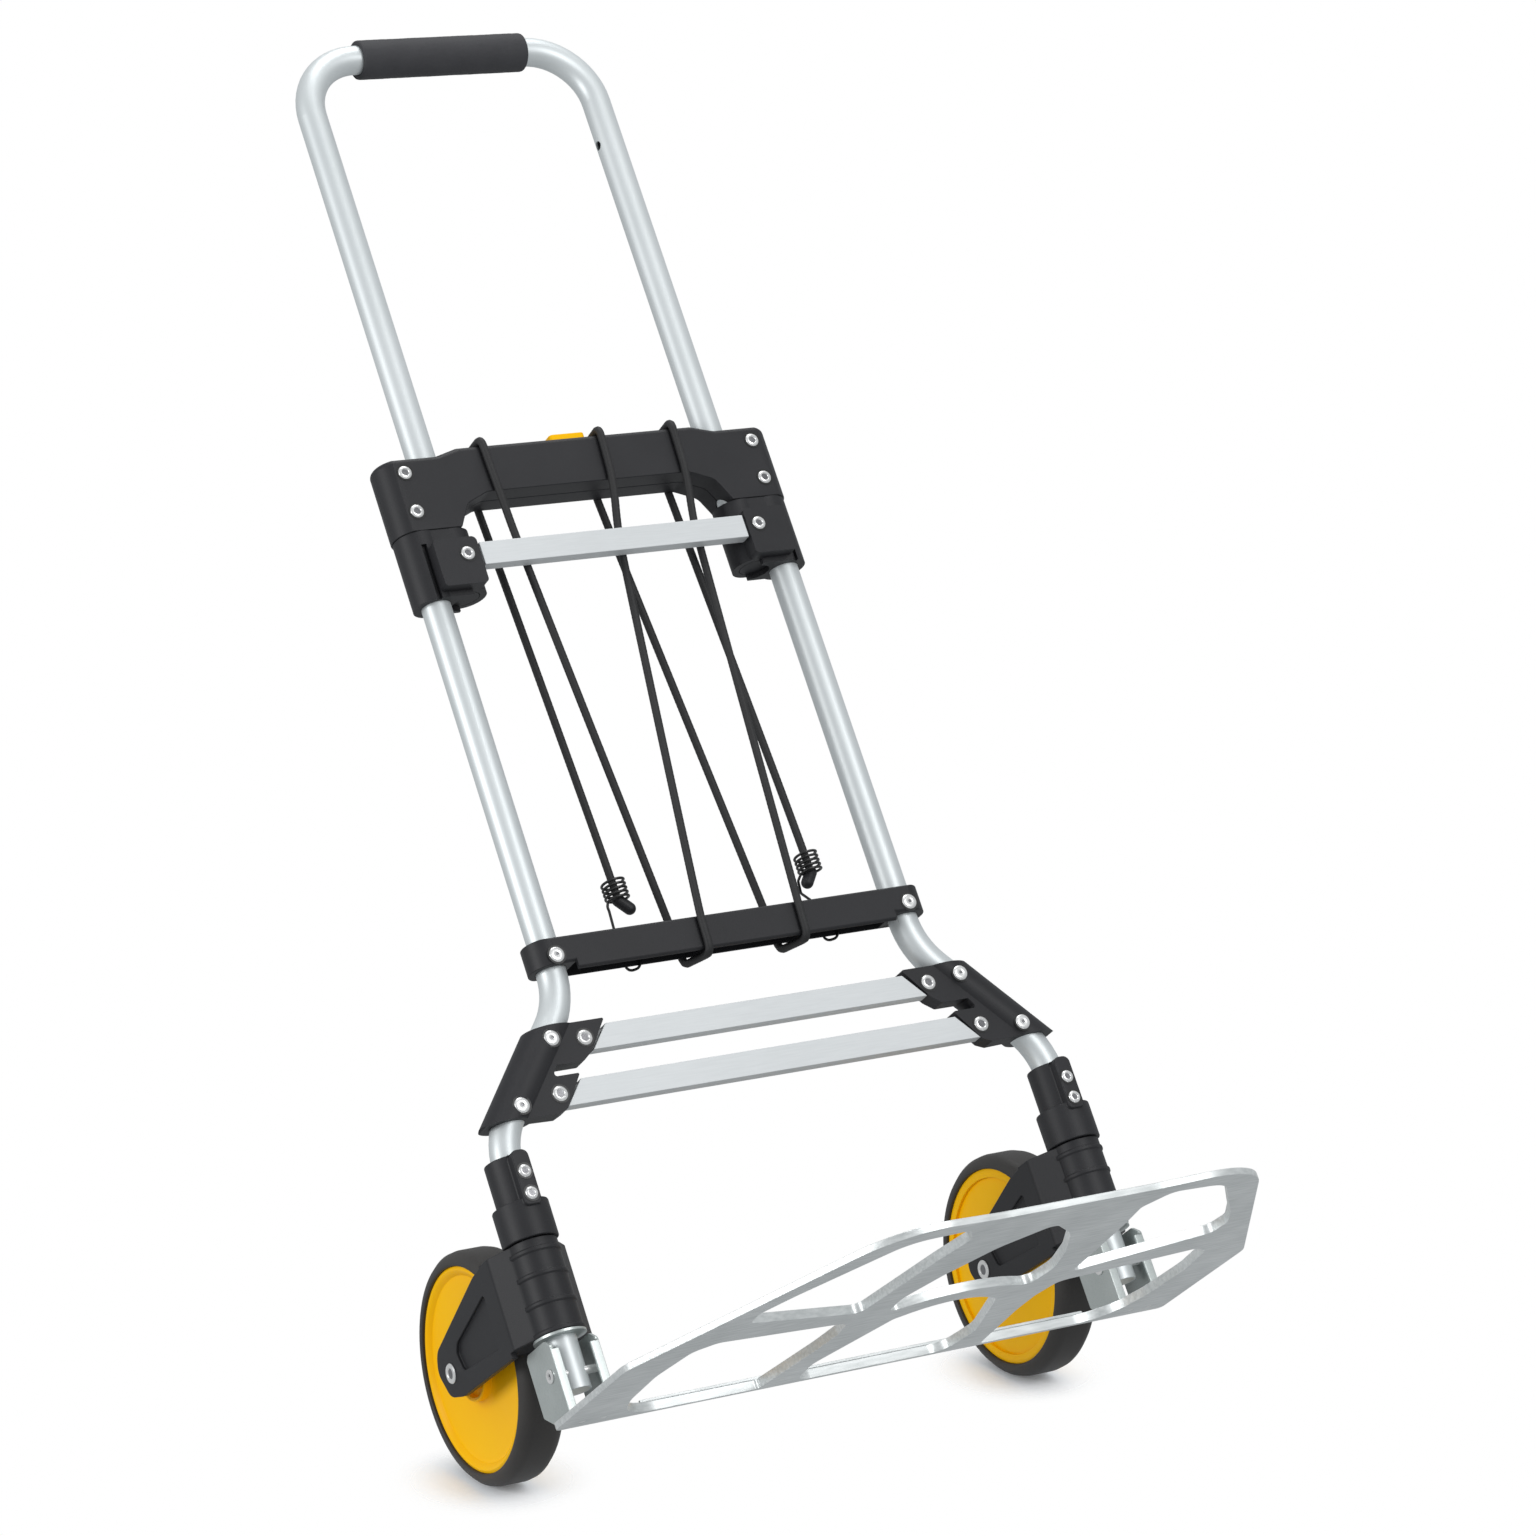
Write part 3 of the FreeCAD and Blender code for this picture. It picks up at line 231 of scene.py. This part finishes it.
# ---- shader helpers ----
def connect(tree, node, inputs):
    """Gives each input a value, or a link from another node's output."""
    for socket, value in inputs.items():
        if isinstance(value, bpy.types.NodeSocket):
            tree.links.new(value, node.inputs[socket])
        else:
            node.inputs[socket].default_value = value


def add_node(tree, kind, inputs, **settings):
    """A new shader node with its settings and inputs."""
    node = tree.nodes.new("ShaderNode" + kind)
    for setting, value in settings.items():
        setattr(node, setting, value)
    connect(tree, node, inputs)
    return node


# ---- camera, floor and light ----
def make_camera():
    """The camera at the photograph's angle."""
    data = bpy.data.cameras.new("camera")
    data.lens = CAMERA_LENS
    data.sensor_width = CAMERA_SENSOR
    data.clip_end = CAMERA_REACH
    camera = bpy.data.objects.new("camera", data)
    SCENE.collection.objects.link(camera)
    turn = Matrix((CAMERA_RIGHT, CAMERA_UP, CAMERA_BACK)).transposed()
    camera.matrix_world = Matrix.Translation(place(*CAMERA_PLACE)) @ turn.to_4x4()
    SCENE.camera = camera


def make_light(name, direction, distance, size, energy):
    """A square softbox that faces the cart's middle."""
    data = bpy.data.lights.new(name, "AREA")
    data.shape = "SQUARE"
    data.size = size
    data.energy = energy
    light = bpy.data.objects.new(name, data)
    SCENE.collection.objects.link(light)
    direction = direction.normalized()
    light.location = place(0, FRAME_Y, MIDDLE_HEIGHT) + direction * distance
    light.rotation_mode = "QUATERNION"
    light.rotation_quaternion = direction.to_track_quat("Z", "Y")


def make_lights():
    """A key softbox from the upper right, a fill from the left, and one overhead."""
    key = 0.7 * TRUE_UP + 0.8 * CAMERA_BACK + 0.75 * CAMERA_RIGHT
    fill = 0.15 * TRUE_UP + 0.6 * CAMERA_BACK - 1.0 * CAMERA_RIGHT
    top = TRUE_UP - 0.35 * CAMERA_BACK
    make_light("key_light", key, distance=3.2, size=1.4, energy=40)
    make_light("fill_light", fill, distance=3.2, size=1.2, energy=44)
    make_light("top_light", top, distance=3.0, size=1.8, energy=40)


def make_world():
    """White to the camera, and a soft grey studio to everything else."""
    world = bpy.data.worlds.new("studio")
    world.use_nodes = True
    SCENE.world = world
    tree = world.node_tree
    tree.nodes.clear()
    rays = add_node(tree, "LightPath", {})
    seen = add_node(tree, "Background", {"Color": (1, 1, 1, 1)})
    ambient = add_node(tree, "Background", {"Color": (0.95, 0.98, 1.0, 1), "Strength": 0.5})
    mix = add_node(tree, "MixShader", {
        "Fac": rays.outputs["Is Camera Ray"], 1: ambient.outputs[0], 2: seen.outputs[0]})
    add_node(tree, "OutputWorld", {"Surface": mix.outputs[0]})
    SCENE.view_settings.view_transform = "Standard"


def floor_material():
    """Pale floor that fades out round each wheel and isn't seen from below."""
    material = bpy.data.materials.new("floor")
    material.use_nodes = True
    tree = material.node_tree
    patch = add_node(tree, "UVMap", {}, uv_map="patch")
    distance = add_node(tree, "VectorMath", {0: patch.outputs[0]}, operation="LENGTH")
    fade = add_node(tree, "MapRange", {
        "Value": distance.outputs["Value"], "From Min": FADE_START, "From Max": FADE_END, "To Min": 1.0,
        "To Max": 0.0}, interpolation_type="SMOOTHSTEP")
    face = add_node(tree, "NewGeometry", {})
    front = add_node(tree, "Math", {0: 1, 1: face.outputs["Backfacing"]}, operation="SUBTRACT")
    alpha = add_node(tree, "Math", {0: fade.outputs[0], 1: front.outputs[0]}, operation="MULTIPLY")
    connect(tree, tree.nodes["Principled BSDF"], {
        "Base Color": (0.92, 0.95, 0.98, 1), "Emission Color": (1, 1, 1, 1), "Emission Strength": 0.1,
        "Roughness": 1.0, "Specular IOR Level": 0.0, "Alpha": alpha.outputs[0]})
    return material


def make_floor():
    """A small patch of floor under each wheel, level as the tipped-back cart stands."""
    along = TRUE_UP.cross(RIGHT).normalized()
    material = floor_material()
    corners = ((-1, -1), (1, -1), (1, 1), (-1, 1))
    for name, side in SIDES.items():
        hub = place(side * WHEEL_X, AXLE_FORWARD, AXLE_HEIGHT)
        touch = hub - TRUE_UP.normalized() * (TYRE_R / METRE)
        points = [touch + RIGHT * FLOOR_HALF * i + along * FLOOR_HALF * j for i, j in corners]
        mesh = bpy.data.meshes.new("floor_" + name)
        mesh.from_pydata(points, [], [(0, 1, 2, 3)])
        layer = mesh.uv_layers.new(name="patch")
        for loop, uv in zip(layer.data, corners):
            loop.uv = uv
        mesh.materials.append(material)
        floor = bpy.data.objects.new("floor_" + name, mesh)
        SCENE.collection.objects.link(floor)


# ---- materials: colours, how large their drift and grain are, and the relief's depth in metres ----
LOOKS = {
    "satin_tube": dict(
        pale=(0.7, 0.73, 0.74), dark=(0.62, 0.66, 0.67), roughness=(0.42, 0.52), metallic=0.5,
        drift=9, grain=2200, relief=0.00002),
    "strip_aluminium": dict(
        pale=(0.66, 0.68, 0.69), dark=(0.58, 0.6, 0.61), roughness=(0.48, 0.6), metallic=0.3,
        drift=8, grain=900, relief=0.00003, stretch=(0.05, 1, 1)),
    "plate_aluminium": dict(
        pale=(0.84, 0.86, 0.86), dark=(0.52, 0.55, 0.55), roughness=(0.3, 0.46), metallic=0.6,
        drift=12, grain=420, relief=0.00012, stretch=(0.12, 1, 1)),
    "rivet_steel": dict(
        pale=(0.86, 0.86, 0.85), dark=(0.7, 0.7, 0.7), roughness=(0.22, 0.38), metallic=0.6,
        drift=60, grain=1500, relief=0.00002),
    "zinc_steel": dict(
        pale=(0.56, 0.6, 0.59), dark=(0.44, 0.48, 0.47), roughness=(0.3, 0.45), metallic=0.7,
        drift=40, grain=900, relief=0.00003),
    "yellow_plastic": dict(
        pale=(1.0, 0.56, 0.0), dark=(1.0, 0.5, 0.0), roughness=(0.35, 0.45), specular=0.12,
        drift=18, grain=1400, relief=0.00003),
    "tyre_rubber": dict(
        pale=(0.046, 0.042, 0.039), dark=(0.028, 0.026, 0.025), roughness=(0.5, 0.65), specular=0.45,
        drift=25, grain=1300, relief=0.00008),
    "grip_foam": dict(
        pale=(0.05, 0.05, 0.055), dark=(0.03, 0.03, 0.034), roughness=(0.6, 0.8), specular=0.35,
        drift=40, grain=1600, relief=0.0002),
    "cord_elastic": dict(
        pale=(0.02, 0.02, 0.021), dark=(0.006, 0.006, 0.007), roughness=(0.5, 0.8),
        drift=90, grain=1600, relief=0.0001),
    "hook_wire": dict(
        pale=(0.012, 0.012, 0.012), dark=(0.006, 0.006, 0.006), roughness=(0.3, 0.4),
        drift=60, grain=1500, relief=0.00002),
    "nylon": dict(
        pale=(0.7, 0.69, 0.64), dark=(0.6, 0.59, 0.54), roughness=(0.4, 0.6),
        drift=30, grain=1500, relief=0.00003),
    "spring_steel": dict(
        pale=(0.3, 0.3, 0.31), dark=(0.12, 0.12, 0.13), roughness=(0.25, 0.4), metallic=0.8,
        drift=60, grain=1500, relief=0.00002),
    "black_plastic": dict(
        pale=(0.022, 0.022, 0.025), dark=(0.012, 0.012, 0.014), roughness=(0.42, 0.58), specular=0.32,
        drift=16, grain=1800, relief=0.0001),
}


def make_finish(name, pale, dark, roughness, drift, grain, relief, metallic=0.0, stretch=(1, 1, 1),
                specular=0.5):
    """A surface whose colour and gloss drift a little, with a fine grain in relief."""
    material = bpy.data.materials.new(name)
    material.use_nodes = True
    tree = material.node_tree
    where = add_node(tree, "TexCoord", {}).outputs["Object"]
    stretched = add_node(tree, "Mapping", {"Vector": where, "Scale": stretch}).outputs[0]
    patches = add_node(tree, "TexNoise", {"Vector": where, "Scale": drift, "Detail": 4}).outputs["Fac"]
    grains = add_node(tree, "TexNoise", {"Vector": stretched, "Scale": grain, "Detail": 3}).outputs["Fac"]
    half = add_node(tree, "Math", {0: patches, 1: 0.5}, operation="MULTIPLY").outputs[0]
    both = add_node(tree, "Math", {0: grains, 1: 0.5, 2: half}, operation="MULTIPLY_ADD").outputs[0]
    colour = add_node(tree, "ValToRGB", {"Fac": both})
    low, high = colour.color_ramp.elements
    low.position = 0.3
    low.color = (*dark, 1)
    high.position = 0.7
    high.color = (*pale, 1)
    gloss = add_node(tree, "MapRange", {"Value": both, "To Min": roughness[0], "To Max": roughness[1]})
    bump = add_node(tree, "Bump", {"Distance": relief, "Height": grains})
    connect(tree, tree.nodes["Principled BSDF"], {
        "Base Color": colour.outputs["Color"], "Roughness": gloss.outputs[0], "Normal": bump.outputs[0],
        "Metallic": metallic, "Specular IOR Level": specular})
    return material


FINISHES = {name: make_finish(name, **look) for name, look in LOOKS.items()}


# ---- mesh helpers ----
def add_mesh(name, mesh, body, slot, *nodes):
    """A new piece that rides on a CAD body and stands for some CAD nodes."""
    piece = bpy.data.objects.new(name, mesh)
    SCENE.collection.objects.link(piece)
    mesh.materials.append(FINISHES[slot])
    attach(piece, body)
    if nodes:
        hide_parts(*nodes)
    return piece


def form_mesh(name, form, sharp=40):
    """A smooth-shaded mesh from a bmesh, with its sharper edges kept crisp."""
    mesh = bpy.data.meshes.new(name)
    bmesh.ops.recalc_face_normals(form, faces=form.faces)
    form.to_mesh(mesh)
    form.free()
    for face in mesh.polygons:
        face.use_smooth = True
    mesh.set_sharp_from_angle(angle=math.radians(sharp))
    return mesh


def lathe(form, profile, origin, axis, segments=48):
    """Adds a shape turned about an axis: (radius, along) points from axis to axis, or round a loop."""
    side = axis.orthogonal().normalized()
    other = axis.cross(side).normalized()
    rings = []
    for radius, along in profile:
        centre = origin + axis * along / METRE
        if radius == 0:
            rings.append([form.verts.new(centre)] * segments)
            continue
        ring = []
        for i in range(segments):
            turn = 2 * math.pi * i / segments
            spoke = side * math.cos(turn) + other * math.sin(turn)
            ring.append(form.verts.new(centre + spoke * radius / METRE))
        rings.append(ring)
    for first, second in zip(rings, rings[1:]):
        for i in range(segments):
            j = (i + 1) % segments
            corners = list(dict.fromkeys((first[i], first[j], second[j], second[i])))
            form.faces.new(corners)


def disc(form, radius, low, high, origin, axis):
    """Adds a short round plug between two distances along an axis."""
    lathe(form, [(0, low), (radius, low), (radius, high), (0, high)], origin, axis)


# ---- rounded edges ----
def edge_widths():
    """The rounding of every node that has some, with both sides of the paired ones."""
    widths = dict(EDGES)
    for stem, width in PAIRED_EDGES.items():
        for side in SIDES:
            widths[stem + "_" + side] = width
    return widths


def plain_mesh(node):
    """The CAD node's mesh without the seams inside its flat faces."""
    form = bmesh.new()
    form.from_mesh(NODES[node].data)
    bmesh.ops.remove_doubles(form, verts=form.verts, dist=WELD / METRE)
    bmesh.ops.dissolve_limit(form, angle_limit=FLAT_ANGLE, verts=form.verts, edges=form.edges)
    bmesh.ops.connect_verts_concave(form, faces=form.faces)
    mesh = bpy.data.meshes.new(node + "_form")
    form.to_mesh(mesh)
    form.free()
    for face in mesh.polygons:
        face.use_smooth = True
    return mesh


def rounded_copy(node, width, slot):
    """The CAD node with its sharp edges rounded over, kept from crossing where they crowd."""
    piece = add_mesh(node + "_form", plain_mesh(node), NODES[node]["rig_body"], slot, node)
    bevel = piece.modifiers.new("edges", "BEVEL")
    bevel.width = width / METRE
    bevel.segments = EDGE_SEGMENTS
    bevel.limit_method = "ANGLE"
    bevel.angle_limit = EDGE_ANGLE
    bevel.miter_outer = "MITER_ARC"
    bevel.use_clamp_overlap = node.startswith(CROWDED_EDGES)
    bevel.loop_slide = False
    weigh = piece.modifiers.new("shading", "WEIGHTED_NORMAL")
    weigh.weight = SMOOTHING_WEIGHT
    weigh.keep_sharp = True


def dress_nodes():
    """Every CAD node gets its finish, and the moulded and pressed ones rounded edges."""
    widths = edge_widths()
    for name, node in NODES.items():
        slot = SLOTS[name]
        node.data.materials.clear()
        node.data.materials.append(FINISHES[slot])
        if name in widths:
            rounded_copy(name, widths[name], slot)


# ---- rivets ----
def rivet_profile(rivet):
    """A rivet's section: a flat tail behind, a shank, and a domed head with a dimple."""
    head, dimple, front = rivet.head, rivet.dimple, rivet.front
    tail = rivet.back - TAIL_THICKNESS
    profile = [(0, tail), (head * TAIL_SHARE, tail), (head * TAIL_SHARE, rivet.back)]
    profile += [(rivet.shank, rivet.back), (rivet.shank, front)]
    profile += [(head - 0.2, front), (head, front + 0.3), (head * 0.93, front + 0.8)]
    profile += [(max(head * 0.78, dimple + 0.6), front + 1.25), (dimple + 0.3, front + 1.4)]
    return profile + [(dimple, front + 1.2), (dimple * 0.85, front + 0.4), (0, front + 0.3)]


def add_rivet(rivet, origin, metal, shadow_rings, dimple_shades):
    """One rivet with a domed head, a thin near-black ring round it that is painted shadow, and a dark disc
    in its dimple that is painted shade.
    """
    front = rivet.front
    lathe(metal, rivet_profile(rivet), origin, FRONT)
    # a near-black ring round the head: painted shadow where it meets the part
    disc(shadow_rings, rivet.head + SHADOW_RING_WIDTH, front - SHADOW_RING_SUNK, front + SHADOW_RING_RISE, origin, FRONT)
    # a dark disc in the dimple: painted shade in the recess
    dimple_shade_r = rivet.dimple * DIMPLE_SHADE_SHARE
    disc(dimple_shades, dimple_shade_r, front + DIMPLE_SHADE_LOW, front + DIMPLE_SHADE_HIGH, origin, FRONT)


def make_rivets():
    """All rivets, one piece per CAD node, with the painted shadow rings round their heads and the painted
    shade in their dimples as two more.
    """
    shadow_rings = bmesh.new()
    dimple_shades = bmesh.new()
    for name, kinds in RIVETS.items():
        metal = bmesh.new()
        for rivet in kinds:
            for x, height in rivet.places:
                for side in SIDES.values():
                    add_rivet(rivet, place(side * x, 0, height), metal, shadow_rings, dimple_shades)
        add_mesh(name + "_form", form_mesh(name, metal), "frame", "rivet_steel", name)
    # near-black rings round the rivet heads: painted shadow
    add_mesh("rivet_shadow_rings", form_mesh("rivet_shadow_rings", shadow_rings), "frame", "hook_wire")
    # dark discs in the rivet dimples: painted shade
    add_mesh("rivet_dimple_shades", form_mesh("rivet_dimple_shades", dimple_shades), "frame", "spring_steel")


# ---- axles and hinge pins ----
def shaft_profile(radius, reach, head):
    """A shaft's section with the same head at both ends, each starting at the reach from the middle."""
    outward = [(ring, reach + rise) for ring, rise in head]
    inward = [(ring, -along) for ring, along in reversed(outward)]
    return inward + [(radius, -reach), (radius, reach)] + outward


def make_shaft(node, origin, radius, reach, head, dimple):
    """A crosswise shaft riveted over in ringed heads, and dark discs in the heads' dimples as painted
    shade.
    """
    body = NODES[node]["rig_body"]
    metal = bmesh.new()
    lathe(metal, shaft_profile(radius, reach, head), origin, RIGHT)
    add_mesh(node + "_form", form_mesh(node, metal), body, "rivet_steel", node)
    head_shade_r, rise = dimple
    out = reach + rise
    dimple_shades = bmesh.new()
    for side in SIDES.values():
        # dark discs in the heads' dimples: painted shade
        disc(dimple_shades, head_shade_r, out, out + DIMPLE_SHADE_THICKNESS, origin, RIGHT * side)
    add_mesh(node + "_dimple_shades", form_mesh(node + "_dimple_shades", dimple_shades), body, "spring_steel")


def make_axles():
    """The wheel shafts, with a head on each fork arm."""
    for name, side in SIDES.items():
        origin = place(side * WHEEL_X, AXLE_FORWARD, AXLE_HEIGHT)
        make_shaft("axle_" + name, origin, AXLE_R, FORK_OUT, AXLE_HEAD, AXLE_DIMPLE_SHADE)


def make_hinge_pins():
    """The toe plate's pins, with a head on each cheek."""
    for name, side in SIDES.items():
        origin = place(side * COLUMN_X, PIN_FORWARD, PIN_HEIGHT)
        make_shaft("hinge_pin_" + name, origin, PIN_R, CHEEK_OUT, PIN_HEAD, PIN_DIMPLE_SHADE)


# ---- foam grip ----
def grip_profile():
    """The sleeve's closed section: thick soft ends and many rows between them."""
    end = [(TUBE_R + 0.05, 0.6), (TUBE_R + 0.9, 0.1), (GRIP_R - 1.0, 0.0), (GRIP_R - 0.3, 0.5)]
    end.append((GRIP_R, GRIP_END))
    step = 2 * (GRIP_HALF - GRIP_END) / GRIP_ROWS
    middle = [(GRIP_R, GRIP_END + step * i) for i in range(1, GRIP_ROWS)]
    far = [(radius, 2 * GRIP_HALF - along) for radius, along in reversed(end)]
    return end + middle + far + end[:1]


def make_grip():
    """The foam sleeve, with a faintly uneven skin."""
    form = bmesh.new()
    lathe(form, grip_profile(), place(-GRIP_HALF, 0, GRIP_HEIGHT), RIGHT, GRIP_SEGMENTS)
    bmesh.ops.remove_doubles(form, verts=form.verts, dist=WELD / METRE)
    axis = place(0, 0, GRIP_HEIGHT)
    for vert in form.verts:
        spoke = vert.co - axis
        spoke.x = 0
        if spoke.length > (GRIP_R - SKIN_THICKNESS) / METRE:
            lump = sum(depth * value_noise(vert.co * rate) for depth, rate in SKIN_LUMPS)
            vert.co -= spoke.normalized() * (SKIN_DEPTH + lump) / METRE
    mesh = form_mesh("handle_grip", form)
    piece = add_mesh("handle_grip_form", mesh, "handle", "grip_foam", "handle_grip")


# ---- elastic cord ----
def cord_line():
    """Points along the cord's NURBS line, about a millimetre apart."""
    curve = bpy.data.curves.new("cord_line", "CURVE")
    curve.dimensions = "3D"
    curve.resolution_u = CORD_SMOOTHNESS
    spline = curve.splines.new("NURBS")
    spline.points.add(len(CORD_ROUTE) - 1)
    for stop, (x, forward, height) in zip(spline.points, CORD_ROUTE):
        stop.co = (x, FRAME_Y / METRE - forward, height, 1)
    spline.order_u = 3
    spline.use_endpoint_u = True
    holder = bpy.data.objects.new("cord_line", curve)
    SCENE.collection.objects.link(holder)
    line = bpy.data.meshes.new_from_object(holder)
    dense = [vert.co.copy() for vert in line.vertices]
    bpy.data.objects.remove(holder)
    points = [dense[0]]
    for spot in dense[1:]:
        if (spot - points[-1]).length > CORD_STEP:
            points.append(spot)
    points[-1] = dense[-1]
    return points


def sheath_ring(form, spot, side, other, travelled):
    """One ring of the sheath, lifted where two ridges of the weave cross."""
    ring = []
    twist = travelled * WEAVE_TWIST
    for i in range(CORD_AROUND):
        turn = 2 * math.pi * i / CORD_AROUND
        weave = math.sin(WEAVE_RIDGES * turn + twist) * math.sin(WEAVE_RIDGES * turn - twist)
        radius = CORD_R - WEAVE_DEPTH / 2 + WEAVE_DEPTH * weave
        spoke = side * math.cos(turn) + other * math.sin(turn)
        ring.append(form.verts.new(spot + spoke * radius))
    return ring


def woven_sheath(points):
    """A closed tube along the points, in crossing low ridges."""
    form = bmesh.new()
    side = (points[1] - points[0]).orthogonal().normalized()
    travelled = 0.0
    rings = []
    for i, spot in enumerate(points):
        before = points[max(i - 1, 0)]
        ahead = points[min(i + 1, len(points) - 1)] - before
        ahead.normalize()
        side = (side - ahead * side.dot(ahead)).normalized()
        travelled += (spot - before).length
        rings.append(sheath_ring(form, spot, side, ahead.cross(side), travelled))
    for first, second in zip(rings, rings[1:]):
        for i in range(CORD_AROUND):
            j = (i + 1) % CORD_AROUND
            form.faces.new((first[i], first[j], second[j], second[i]))
    form.faces.new(rings[0])
    form.faces.new(rings[-1])
    return form


def make_cord():
    """The woven elastic cord from hook to hook."""
    points = cord_line()
    mesh = form_mesh("elastic_cord", woven_sheath(points), sharp=80)
    piece = add_mesh("elastic_cord_form", mesh, "frame", "cord_elastic", "elastic_cord")


# ---- the whole scene ----
make_camera()
make_cord()
make_world()
make_lights()
make_floor()
dress_nodes()
make_rivets()
make_axles()
make_hinge_pins()
make_grip()
